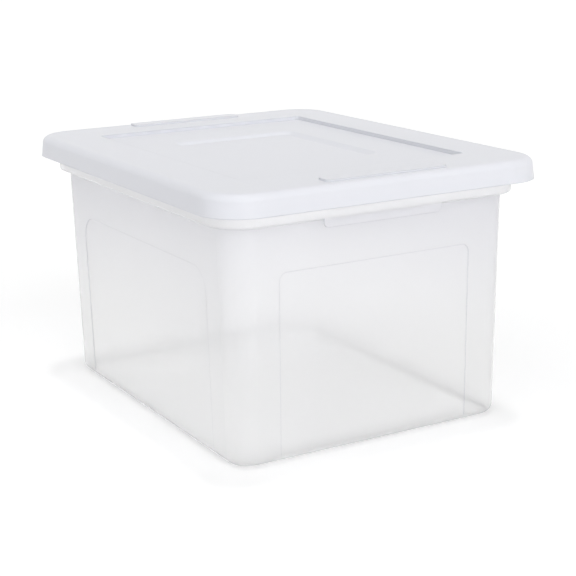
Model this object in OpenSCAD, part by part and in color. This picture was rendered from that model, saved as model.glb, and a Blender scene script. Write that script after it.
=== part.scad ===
// Portable file box for hanging folders: a drafted, translucent tub and a lift-off lid.
// Millimetres, +Z up. The origin is at the middle of the underside, X runs across the box
// and Y along it.

/* [Tub] */
// Width of the base across X, before its edge is rounded
base_x = 304; // [290:1:312]
// Length of the base along Y, before its edge is rounded
base_y = 385; // [372:1:392]
// Corner radius of the base, seen from above
base_corner_r = 22; // [18:1:28]
// Radius between the walls and the floor, outside
base_edge_r = 10; // [6:0.5:12]
// Thickness of the walls, the rail and the rim
wall_t = 1.8; // [1.4:0.1:2.4]
// Thickness of the floor
floor_t = 2; // [1.5:0.1:3]
// Slope of the walls, in degrees from upright
wall_draft = 1.1; // [0.8:0.1:1.4]

/* [Wall panels] */
// Depth of the sunk panels in the walls
panel_depth = 0.7; // [0.4:0.1:1]
// Height of the panels above the ground
panel_top_z = 184; // [150:1:205]
// Width of the panels in the two end walls
end_panel_w = 212; // [150:1:235]
// Corner radius of the end panels
end_panel_r = 8; // [4:1:30]
// Width of the panels in the two side walls
side_panel_w = 288; // [220:1:315]
// Corner radius of the side panels
side_panel_r = 24; // [6:1:40]

/* [Rim] */
// Height of the underside of the ledge round the walls
ledge_z = 230; // [222:1:233]
// How far the ledge stands out from the walls
ledge_w = 10.5; // [9:0.5:12]
// Radius along the lower edge of the ledge
ledge_edge_r = 2.5; // [2:0.1:3]
// Height of the rail that the folders hang on
rail_z = 246; // [240:1:250]
// How far the lip of the rim turns down
lip_h = 12; // [9:0.5:13]
// Radius along the upper edge of the rim
rim_edge_r = 8; // [7.5:0.5:9]
// Length of the two hand grips
grip_w = 130; // [90:1:160]
// How far the grips reach below the ledge
grip_drop = 7.5; // [6:0.5:12]
// Corner radius of the grips
grip_corner_r = 5; // [2:0.5:6]

/* [Lid] */
// Width of the lid across X
lid_x = 362; // [358:1:370]
// Length of the lid along Y
lid_y = 457; // [448:1:468]
// Height of the closed box, without the bars on the lid
box_h = 266; // [264:1:272]
// Corner radius of the lid, seen from above
lid_corner_r = 42; // [38:1:48]
// Radius along the upper edge of the lid
lid_edge_r = 8; // [7:0.5:8]
// Thickness of the lid
lid_t = 1.8; // [1.4:0.1:2.2]
// Height of the lid's skirt, from its lower edge to the top
skirt_h = 21.5; // [20:0.5:24]
// How far the skirt spreads towards its lower edge
skirt_flare = 1.8; // [1:0.1:2.4]
// Space between the skirt's narrowest part and the rim
rim_gap = 0.5; // [0.4:0.1:1]
// Height of the snap bead above the skirt's lower edge
bead_z = 3; // [2.5:0.5:3.5]
// Radius of the snap bead inside the skirt
bead_r = 1.2; // [1:0.1:1.4]
// Space between the bead and the rim as the lid is lifted
bead_gap = 0.3; // [0.25:0.05:0.5]

/* [Lid top] */
// Width of the sunk field in the lid, across X
field_x = 250; // [220:1:264]
// Length of the sunk field, along Y
field_y = 322; // [290:1:340]
// Depth of the sunk field
field_depth = 4; // [2:0.5:4.5]
// Corner radius of the sunk field
field_r = 4; // [3:0.5:12]
// Width of the deeper well in the middle, across X
well_x = 146; // [110:1:180]
// Length of the well, along Y
well_y = 184; // [140:1:230]
// Depth of the well below the field
well_depth = 3; // [1.5:0.5:3.5]
// How far the well's sides slope inward
well_slope = 6; // [4:0.5:9]
// Corner radius of the well
well_r = 14; // [12:1:24]
// Length of the two stacking bars, along X
bar_w = 132; // [90:1:160]
// Width of the stacking bars, along Y
bar_t = 19; // [12:0.5:20]
// Height of the stacking bars
bar_h = 2; // [1:0.5:3]
// Distance from the bars to the lid's ends
bar_inset = 13; // [12:0.5:16]

/* [Hidden] */
$fn = 96;
frosted = [0.87, 0.89, 0.92, 0.55];
eps = 0.01;
// The round at the floor stands this much proud of the wall, so the two faces cross.
round_proud = 0.03;

// The rim's top carries the lid's underside, so the box keeps its height.
rim_top_z = box_h - lid_t;
skirt_z = box_h - skirt_h;

// Distances outward from the outline of the base.
ledge_out = wall_out(ledge_z) + ledge_w;
channel_out = ledge_out - wall_t;
// How far the floor of the wall's profile reaches inward.
floor_reach = base_edge_r + wall_t;

// The rim's outline lies inside the lid's.
rim_inset = skirt_flare + lid_t + rim_gap;
rim_x = lid_x - 2 * rim_inset;
rim_y = lid_y - 2 * rim_inset;
rim_corner_r = lid_corner_r - rim_inset;
lip_z = rim_top_z - lip_h;

// The flat of the lid starts where its rounded edge ends.
lid_flat_in = skirt_flare + lid_edge_r;
field_z = box_h - field_depth;
well_z = field_z - well_depth;

// Distance of the drafted wall from the outline of the base, at height z
function wall_out(z) = z * tan(wall_draft);

// Centre of a round of radius r that touches the floor's face at height z0 and the
// wall's face inset by t
function touch_centre(r, z0, t) = [((z0 + r) * sin(wall_draft) - t - r) / cos(wall_draft), z0 + r];

// Where that round touches the wall's face
function touch_end(r, z0, t) = touch_centre(r, z0, t) + r * [cos(wall_draft), -sin(wall_draft)];

// Rounded rectangle, x by y, grown outward by out
module outline(x, y, r, out = 0) {
    gx = x + 2 * out;
    gy = y + 2 * out;
    gr = r + out;
    square([gx - 2 * gr, gy], center = true);
    square([gx, gy - 2 * gr], center = true);
    for (i = [-1, 1], j = [-1, 1])
        translate([i * (gx / 2 - gr), j * (gy / 2 - gr)])
            circle(gr);
}

// Carries a profile round a rounded rectangle. The profile's x is the distance outward
// from the outline and its y is the height.
module sweep(x, y, r) {
    for (side = [0:3]) {
        across = side % 2 == 0 ? x : y;
        along = side % 2 == 0 ? y : x;
        rotate(90 * side) {
            translate([across / 2, 0, 0])
                rotate([90, 0, 0])
                    linear_extrude(along - 2 * r, center = true)
                        children();
            translate([across / 2 - r, along / 2 - r, 0])
                rotate_extrude(angle = 90)
                    translate([r, 0])
                        children();
        }
    }
}

// Everything inside one face of the tub's wall: t is the distance in from the outer
// face, z0 the height of the floor's face, r the round between them
module wall_region(r, z0, t, top_z) {
    centre = touch_centre(r, z0, t) + [round_proud, 0];
    shift = t / cos(wall_draft);
    intersection() {
        union() {
            polygon([
                [-floor_reach - t, z0],
                [centre[0], z0],
                touch_end(r, z0, t),
                [wall_out(top_z) - shift, top_z],
                [-floor_reach - t, top_z]
            ]);
            translate(centre)
                circle(r);
        }
        translate([-floor_reach - t, z0])
            square([floor_reach + t + ledge_out, top_z - z0]);
    }
}

// Section of the tub's wall, its rail and the channel outside the rail
module tub_profile() {
    difference() {
        union() {
            intersection() {
                wall_region(base_edge_r, 0, 0, rail_z);
                translate([-floor_reach, 0])
                    square([floor_reach + ledge_out, rail_z]);
            }
            ledge_region();
        }
        wall_region(base_edge_r - wall_t, floor_t, wall_t, rail_z + eps);
        channel_region();
    }
}

// The ledge and the upright outside the channel, still filled
module ledge_region() {
    corner = [ledge_out - ledge_edge_r, ledge_z + ledge_edge_r];
    polygon([
        [wall_out(ledge_z) - wall_t / 2, ledge_z],
        [corner[0], ledge_z],
        [ledge_out, corner[1]],
        [ledge_out, rim_top_z],
        [wall_out(ledge_z) - wall_t / 2, rim_top_z]
    ]);
    translate(corner)
        circle(ledge_edge_r);
}

// The free space of the channel and above the rail
module channel_region() {
    bottom_z = ledge_z + wall_t;
    polygon([
        [wall_out(bottom_z), bottom_z],
        [channel_out, bottom_z],
        [channel_out, rim_top_z + eps],
        [-floor_reach - wall_t, rim_top_z + eps],
        [-floor_reach - wall_t, rail_z],
        [wall_out(rail_z), rail_z]
    ]);
}

// Section of the rim's rounded edge and of the lip that turns down
module lip_profile() {
    centre = [-rim_edge_r, rim_top_z - rim_edge_r];
    difference() {
        union() {
            translate(centre)
                intersection() {
                    circle(rim_edge_r);
                    square(rim_edge_r);
                }
            translate([-rim_edge_r, lip_z])
                square([rim_edge_r, centre[1] - lip_z]);
        }
        translate(centre)
            circle(rim_edge_r - wall_t);
        translate([-rim_edge_r - eps, lip_z - eps])
            square([rim_edge_r - wall_t + eps, centre[1] - lip_z + eps]);
    }
}

// Flat of the rim, from inside the channel's upright to the rounded edge
module rim_flat() {
    translate([0, 0, rim_top_z - wall_t])
        linear_extrude(wall_t)
            difference() {
                outline(rim_x, rim_y, rim_corner_r, -rim_edge_r);
                outline(base_x, base_y, base_corner_r, channel_out + wall_t / 2);
            }
}

// Sunk panel, w wide with corner radius r, for a wall that faces X at distance d
module panel_cut(w, r, d) {
    translate([d, 0, 0])
        rotate([0, wall_draft, 0])
            translate([-panel_depth, 0, 0])
                rotate([90, 0, 90])
                    linear_extrude(panel_depth + wall_t) {
                        translate([-w / 2, -base_edge_r])
                            square([w, panel_top_z - r + base_edge_r]);
                        translate([-w / 2 + r, 0])
                            square([w - 2 * r, panel_top_z]);
                        for (i = [-1, 1])
                            translate([i * (w / 2 - r), panel_top_z - r])
                                circle(r);
                    }
}

// Hand grip: the outer skin of the ledge carried further down in the middle of an end
module grip() {
    top_z = ledge_z + ledge_edge_r;
    low_z = ledge_z - grip_drop;
    translate([base_y / 2 + channel_out, 0, 0])
        rotate([90, 0, 90])
            linear_extrude(wall_t) {
                translate([-grip_w / 2, low_z + grip_corner_r])
                    square([grip_w, top_z - low_z - grip_corner_r]);
                translate([-grip_w / 2 + grip_corner_r, low_z])
                    square([grip_w - 2 * grip_corner_r, top_z - low_z]);
                for (i = [-1, 1])
                    translate([i * (grip_w / 2 - grip_corner_r), low_z + grip_corner_r])
                        circle(grip_corner_r);
            }
}

// One moulding: floor, drafted walls, hanging rail, channel, rim and hand grips
module tub() {
    color(frosted)
        difference() {
            union() {
                linear_extrude(floor_t)
                    outline(base_x, base_y, base_corner_r, -floor_reach);
                sweep(base_x, base_y, base_corner_r)
                    tub_profile();
                rim_flat();
                sweep(rim_x, rim_y, rim_corner_r)
                    lip_profile();
                for (turn = [90, 270])
                    rotate(turn)
                        grip();
            }
            for (turn = [0, 180])
                rotate(turn)
                    panel_cut(side_panel_w, side_panel_r, base_x / 2);
            for (turn = [90, 270])
                rotate(turn)
                    panel_cut(end_panel_w, end_panel_r, base_y / 2);
        }
}

// Section of the lid's skirt and rounded edge, with the snap bead
module skirt_profile() {
    top_z = box_h - lid_edge_r;
    centre = [-lid_flat_in, top_z];
    bead_reach = rim_inset - bead_gap;
    difference() {
        union() {
            polygon([
                [0, skirt_z],
                [-skirt_flare, top_z],
                [-skirt_flare - lid_t, top_z],
                [-lid_t, skirt_z]
            ]);
            translate(centre)
                intersection() {
                    circle(lid_edge_r);
                    square(lid_edge_r);
                }
            translate([bead_r - bead_reach, skirt_z + bead_z])
                circle(bead_r);
        }
        translate(centre)
            circle(lid_edge_r - lid_t);
    }
}

// Flat ring of the lid between two outlines, with its top at height z
module lid_ring(z) {
    translate([0, 0, z - lid_t])
        linear_extrude(lid_t)
            difference() {
                children(0);
                children(1);
            }
}

// Section of the upright step down into the sunk field
module field_step() {
    translate([0, field_z - lid_t])
        square([lid_t, field_depth + lid_t]);
}

// Section of the sloping step down into the well
module well_step() {
    polygon([
        [0, field_z],
        [-well_slope, well_z],
        [-well_slope, well_z - lid_t],
        [0, field_z - lid_t]
    ]);
}

// Raised stacking bar, solid, across one end of the lid
module bar() {
    bar_x = lid_y / 2 - bar_inset - bar_t / 2;
    translate([bar_x, 0, box_h - eps])
        linear_extrude(bar_h + eps)
            outline(bar_t, bar_w, bar_t / 4);
}

// One moulding: skirt with its bead, flat border, sunk field, well and stacking bars
module lid() {
    color(frosted) {
        sweep(lid_x, lid_y, lid_corner_r)
            skirt_profile();
        lid_ring(box_h) {
            outline(lid_x, lid_y, lid_corner_r, -lid_flat_in);
            outline(field_x, field_y, field_r);
        }
        sweep(field_x, field_y, field_r)
            field_step();
        lid_ring(field_z) {
            outline(field_x, field_y, field_r);
            outline(well_x, well_y, well_r);
        }
        sweep(well_x, well_y, well_r)
            well_step();
        translate([0, 0, well_z - lid_t])
            linear_extrude(lid_t)
                outline(well_x, well_y, well_r, -well_slope);
        for (turn = [90, 270])
            rotate(turn)
                bar();
    }
}

tub();
lid();
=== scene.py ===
import math

import bpy
from mathutils import Matrix, Vector

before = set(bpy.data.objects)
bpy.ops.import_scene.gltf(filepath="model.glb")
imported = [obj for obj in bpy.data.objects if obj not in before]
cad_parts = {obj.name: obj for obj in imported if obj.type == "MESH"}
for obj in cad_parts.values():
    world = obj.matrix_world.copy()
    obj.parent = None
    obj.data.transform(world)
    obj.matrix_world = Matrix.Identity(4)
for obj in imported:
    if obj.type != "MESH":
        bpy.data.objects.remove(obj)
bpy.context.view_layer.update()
mm = 0.001
bpy.context.scene.view_settings.view_transform = "Standard"


def linear(hexColour):  # sRGB hex to a linear colour
    parts = [int(hexColour[i : i + 2], 16) / 255 for i in (1, 3, 5)]
    return [p / 12.92 if p <= 0.04045 else ((p + 0.055) / 1.055) ** 2.4 for p in parts] + [1.0]


def addNode(tree, kind, settings={}, sockets={}, links={}):  # one node, set and joined up
    made = tree.nodes.new(kind)
    for name, value in settings.items():
        setattr(made, name, value)
    for name, value in sockets.items():
        made.inputs[name].default_value = value
    for name, source in links.items():
        tree.links.new(source, made.inputs[name])
    return made


def newMaterial(name):
    made = bpy.data.materials.new(name)
    made.use_nodes = True
    made.node_tree.nodes.clear()
    return made, made.node_tree


camera = {
    "place": (-725.6 * mm, -1290.4 * mm, 503.4 * mm),
    "yaw": 0.521,  # radians, to the right of +Y
    "pitch": -0.259,
    "roll": -0.018,
    "lens": 89.88,  # millimetres
    "sensor": 36,  # millimetres
}


def makeCamera(c):
    data = bpy.data.cameras.new("camera")
    data.lens = c["lens"]
    data.sensor_width = c["sensor"]
    made = bpy.data.objects.new("camera", data)
    bpy.context.scene.collection.objects.link(made)
    ahead = Vector((
        math.cos(c["pitch"]) * math.sin(c["yaw"]),
        math.cos(c["pitch"]) * math.cos(c["yaw"]),
        math.sin(c["pitch"]),
    ))
    right = ahead.cross(Vector((0, 0, 1))).normalized()
    up = right.cross(ahead)
    turn = Matrix((right, up, -ahead)).transposed() @ Matrix.Rotation(c["roll"], 3, "Z")
    made.matrix_world = Matrix.Translation(c["place"]) @ turn.to_4x4()
    bpy.context.scene.camera = made


makeCamera(camera)
print("camera placed")

studio = {
    "floorColour": "#fcfcfc",
    "floorSize": 40.0,
    "airGap": 0.3 * mm,  # under the plastic, so that the two faces don't coincide
    "floorGlow": 0.14,  # brings the bare floor to white, for the rays that seenRays names
    "glowColour": "#ffffff",
    "ambient": 0.4,  # soft light from all round
    "backdrop": 1.0,  # white behind the object
    "lamps": {  # wide suns, so the floor is lit evenly as far as it goes; spread in degrees
        "key": {"from": (0.0, -1.2, 0.5), "strength": 1.4, "spread": 50},
        "fill": {"from": (-1.2, -0.3, 0.9), "strength": 0.72, "spread": 70},
        "top": {"from": (0.05, 0.02, 1.0), "strength": 0.68, "spread": 6},  # tight floor shadow
    },
}


def seenRays(tree):  # 1 where the camera, a reflection or a view through plastic sees it
    path = addNode(tree, "ShaderNodeLightPath")
    first = addNode(tree, "ShaderNodeMath", {"operation": "MAXIMUM"}, {},
                    {0: path.outputs["Is Camera Ray"], 1: path.outputs["Is Glossy Ray"]})
    return addNode(tree, "ShaderNodeMath", {"operation": "MAXIMUM"}, {},
                   {0: first.outputs[0], 1: path.outputs["Is Transmission Ray"]})


def makeFloor(s):
    half = s["floorSize"] / 2
    low = -s["airGap"]
    corners = [(-half, -half, low), (half, -half, low), (half, half, low), (-half, half, low)]
    mesh = bpy.data.meshes.new("floor")
    mesh.from_pydata(corners, [], [(0, 1, 2, 3)])
    made = bpy.data.objects.new("floor", mesh)
    bpy.context.scene.collection.objects.link(made)
    paper, tree = newMaterial("studio paper, matt white")
    surface = addNode(tree, "ShaderNodeBsdfDiffuse", {}, {"Color": linear(s["floorColour"])})
    seen = seenRays(tree)
    glow = addNode(tree, "ShaderNodeMath", {"operation": "MULTIPLY"},
                   {1: s["floorGlow"]}, {0: seen.outputs[0]})
    light = addNode(tree, "ShaderNodeEmission", {},
                    {"Color": linear(s["glowColour"])}, {"Strength": glow.outputs[0]})
    both = addNode(tree, "ShaderNodeAddShader", {}, {},
                   {0: surface.outputs[0], 1: light.outputs[0]})
    addNode(tree, "ShaderNodeOutputMaterial", {}, {}, {"Surface": both.outputs[0]})
    mesh.materials.append(paper)


def makeWorld(s):
    world = bpy.data.worlds.new("studio")
    bpy.context.scene.world = world
    world.use_nodes = True
    tree = world.node_tree
    tree.nodes.clear()
    white = linear(s["glowColour"])
    soft = addNode(tree, "ShaderNodeBackground", {}, {"Color": white, "Strength": s["ambient"]})
    back = addNode(tree, "ShaderNodeBackground", {}, {"Color": white, "Strength": s["backdrop"]})
    seen = seenRays(tree)
    mixed = addNode(tree, "ShaderNodeMixShader", {}, {},
                    {0: seen.outputs[0], 1: soft.outputs[0], 2: back.outputs[0]})
    addNode(tree, "ShaderNodeOutputWorld", {}, {}, {"Surface": mixed.outputs[0]})


def makeLamp(name, lamp):
    data = bpy.data.lights.new(name, "SUN")
    data.angle = math.radians(lamp["spread"])
    data.energy = lamp["strength"]
    made = bpy.data.objects.new(name, data)
    bpy.context.scene.collection.objects.link(made)
    made.location = Vector(lamp["from"])
    made.rotation_euler = (-Vector(lamp["from"])).to_track_quat("-Z", "Y").to_euler()


makeFloor(studio)
makeWorld(studio)
for lampName, lamp in studio["lamps"].items():
    makeLamp(lampName, lamp)
print("studio lit")

moulding = {  # what both mouldings have in common
    "milk": 0.4,  # share of the surface's light that strays inside the wall
    "scatter": 1.0 * mm,  # how far it strays
    "coatBend": 1.49,  # refractive index of polypropylene, used for the gloss alone
    "swing": 0.02,  # the gloss wanders this much with the waviness
    "waveHeight": 0.5 * mm,
    "waveDetail": 2.0,
    "grainDetail": 1.0,
    "bevelSamples": 4,
    "edgeTurn": (0.995, 0.85),  # cosine of the normal's turn: start and full strength of an edge
    "slant": (0.7, 0.95),  # seen this much aslant, a wall is too thick to look through
    "milkFrom": 0.3,  # share of the height where the wall starts to turn milky and greyer
    "lip": 229 * mm,  # where the tub's wall steps out to the lip
    "lipBlend": 3 * mm,
    "footBlend": 0.8,  # share of the foot's height where its shade starts to fade
    "upright": (0.99, 0.9),  # level faces keep out of the foot's shade
}
tubPlastic = {
    **moulding,
    "name": "natural polypropylene, moulded, fine satin",
    "colour": "#f6f6f6",
    # the wall turns greyer towards the rim
    "rimColour": "#e9e9ec",
    # painted light: the lip, which sits in the shade of the lid's skirt, is coloured lighter
    "paintedLipLight": "#fdfdfe",
    # painted shade: darker lines drawn along every edge and crease of the tub
    "paintedEdgeShade": "#dadbe0",
    "shadow": "#eeeeee",  # light that a shadow keeps, at each face of a wall
    "footShadow": "#202020",  # and at the round of the foot, the thickest part
    "foot": 15 * mm,
    "bend": 1.06,  # weak, because a thin wall hardly turns what is seen through it
    "roughness": 0.31,  # blurs what is seen through the wall
    "gloss": 1.0,
    "sheen": 0.25,  # roughness of the gloss
    "seeLow": 0.93,  # share of the light that goes through, at the floor
    "seeHigh": 0.6,  # and at the rim, where the wall is milkier
    "edgeSee": 0.4,  # an edge is thicker to look through, so it is milkier
    "tall": 240 * mm,
    "grain": 0.6 * mm,  # spark-eroded grain, drawn coarse enough to show
    "grainHeight": 0.012 * mm,
    "wave": 60 * mm,  # slow waviness of a large flat moulding
    "edge": 1.2 * mm,  # radius that a mould leaves along every edge
}
lidPlastic = {
    **moulding,
    "name": "natural polypropylene, moulded, matt lid",
    "colour": "#e3e4e9",
    "rimColour": "#e3e4e9",  # the lid is one colour all over
    # no painted light on the lid, which keeps its own colour here
    "paintedLipLight": "#e3e4e9",
    # painted shade: darker lines drawn along every edge and riser of the lid
    "paintedEdgeShade": "#d8dae0",
    "shadow": "#e4e4e4",
    "footShadow": "#e4e4e4",  # the lid has no foot, so this equals its shadow
    "foot": 12 * mm,
    "bend": 1.12,
    "roughness": 0.4,
    "gloss": 0.4,  # a coarser grain than the tub's, so a weaker gloss
    "sheen": 0.35,
    "seeLow": 0.1,  # little shows through the lid, which is seen aslant with the rim behind it
    "seeHigh": 0.1,
    "edgeSee": 0.1,
    "tall": 266 * mm,
    "grain": 0.8 * mm,
    "grainHeight": 0.03 * mm,
    "wave": 80 * mm,
    "edge": 1.6 * mm,
}


def mouldedPlastic(p):  # milky and cool, blurs what is behind it, soft sheen on the edges; painted shade darkens every edge and painted light brightens the tub's lip
    made, tree = newMaterial(p["name"])
    place = addNode(tree, "ShaderNodeTexCoord")
    wave = addNode(tree, "ShaderNodeTexNoise", {},
                   {"Scale": 1 / p["wave"], "Detail": p["waveDetail"]},
                   {"Vector": place.outputs["Object"]})
    grain = addNode(tree, "ShaderNodeTexNoise", {},
                    {"Scale": 1 / p["grain"], "Detail": p["grainDetail"]},
                    {"Vector": place.outputs["Object"]})
    edge = addNode(tree, "ShaderNodeBevel", {"samples": p["bevelSamples"]}, {"Radius": p["edge"]})
    slow = addNode(tree, "ShaderNodeBump", {}, {"Strength": 1.0, "Distance": p["waveHeight"]},
                   {"Height": wave.outputs["Fac"], "Normal": edge.outputs["Normal"]})
    fine = addNode(tree, "ShaderNodeBump", {}, {"Strength": 1.0, "Distance": p["grainHeight"]},
                   {"Height": grain.outputs["Fac"], "Normal": slow.outputs["Normal"]})
    gloss = addNode(tree, "ShaderNodeMapRange", {},
                    {"To Min": p["roughness"] - p["swing"], "To Max": p["roughness"] + p["swing"]},
                    {"Value": wave.outputs["Fac"]})

    flat = addNode(tree, "ShaderNodeNewGeometry")
    turned = addNode(tree, "ShaderNodeVectorMath", {"operation": "DOT_PRODUCT"}, {},
                     {0: edge.outputs["Normal"], 1: flat.outputs["Normal"]})
    nearEdge = addNode(tree, "ShaderNodeMapRange", {},
                       {"From Min": p["edgeTurn"][0], "From Max": p["edgeTurn"][1]},
                       {"Value": turned.outputs["Value"]})
    height = addNode(tree, "ShaderNodeSeparateXYZ", {}, {}, {0: place.outputs["Object"]})
    milky = addNode(tree, "ShaderNodeMapRange", {},
                    {"From Min": p["tall"] * p["milkFrom"], "From Max": p["tall"]},
                    {"Value": height.outputs["Z"]})
    lip = addNode(tree, "ShaderNodeMapRange", {},
                  {"From Min": p["lip"], "From Max": p["lip"] + p["lipBlend"]},
                  {"Value": height.outputs["Z"]})

    slant = addNode(tree, "ShaderNodeLayerWeight", {}, {"Blend": 0.5})
    thick = addNode(tree, "ShaderNodeMapRange", {}, {
        "From Min": p["slant"][0], "From Max": p["slant"][1], "To Min": 1.0, "To Max": 0.0,
    }, {"Value": slant.outputs["Facing"]})
    clear = addNode(tree, "ShaderNodeMapRange", {}, {"To Min": p["seeLow"], "To Max": p["seeHigh"]},
                    {"Value": milky.outputs[0]})
    see = addNode(tree, "ShaderNodeMapRange", {}, {"To Max": p["edgeSee"]},
                  {"Value": nearEdge.outputs[0], "To Min": clear.outputs[0]})
    share = addNode(tree, "ShaderNodeMath", {"operation": "MULTIPLY"}, {},
                    {0: see.outputs[0], 1: thick.outputs[0]})

    wall = addNode(tree, "ShaderNodeMix", {"data_type": "RGBA"},
                   {"A": linear(p["colour"]), "B": linear(p["rimColour"])},
                   {"Factor": milky.outputs[0]})
    # painted light: the lip above the step is coloured lighter
    paintedLipMix = addNode(tree, "ShaderNodeMix", {"data_type": "RGBA"}, {"B": linear(p["paintedLipLight"])},
                    {"Factor": lip.outputs[0], "A": wall.outputs["Result"]})
    # painted shade: the colour darkens where the bevel turns the normal, along every edge
    paintedEdgeMix = addNode(tree, "ShaderNodeMix", {"data_type": "RGBA"}, {"B": linear(p["paintedEdgeShade"])},
                   {"Factor": nearEdge.outputs[0], "A": paintedLipMix.outputs["Result"]})
    body = addNode(tree, "ShaderNodeBsdfPrincipled", {}, {
        "IOR": p["bend"],
        "Coat Weight": p["gloss"],
        "Coat IOR": p["coatBend"],
        "Coat Roughness": p["sheen"],
        "Subsurface Weight": p["milk"],
        "Subsurface Radius": (1.0, 1.0, 1.0),
        "Subsurface Scale": p["scatter"],
    }, {
        "Base Color": paintedEdgeMix.outputs["Result"],
        "Transmission Weight": share.outputs[0],
        "Roughness": gloss.outputs[0],
        "Normal": fine.outputs["Normal"],
    })

    path = addNode(tree, "ShaderNodeLightPath")
    facing = addNode(tree, "ShaderNodeSeparateXYZ", {}, {}, {0: flat.outputs["Normal"]})
    upright = addNode(tree, "ShaderNodeMath", {"operation": "ABSOLUTE"}, {},
                      {0: facing.outputs["Z"]})
    aside = addNode(tree, "ShaderNodeMapRange", {},
                    {"From Min": p["upright"][0], "From Max": p["upright"][1]},
                    {"Value": upright.outputs[0]})
    level = addNode(tree, "ShaderNodeMapRange", {}, {
        "From Min": p["foot"] * p["footBlend"], "From Max": p["foot"], "To Min": 1.0, "To Max": 0.0,
    }, {"Value": height.outputs["Z"]})
    foot = addNode(tree, "ShaderNodeMath", {"operation": "MULTIPLY"}, {},
                   {0: level.outputs[0], 1: aside.outputs[0]})
    shade = addNode(tree, "ShaderNodeMix", {"data_type": "RGBA"},
                    {"A": linear(p["shadow"]), "B": linear(p["footShadow"])},
                    {"Factor": foot.outputs[0]})
    through = addNode(tree, "ShaderNodeBsdfTransparent", {}, {}, {"Color": shade.outputs["Result"]})
    both = addNode(tree, "ShaderNodeMixShader", {}, {},
                   {0: path.outputs["Is Shadow Ray"], 1: body.outputs[0], 2: through.outputs[0]})
    addNode(tree, "ShaderNodeOutputMaterial", {}, {}, {"Surface": both.outputs[0]})
    return made


for nodeName, plastic in (("tub", tubPlastic), ("lid", lidPlastic)):
    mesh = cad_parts[nodeName].data
    mesh.materials.clear()
    mesh.materials.append(mouldedPlastic(plastic))
print("plastic on")
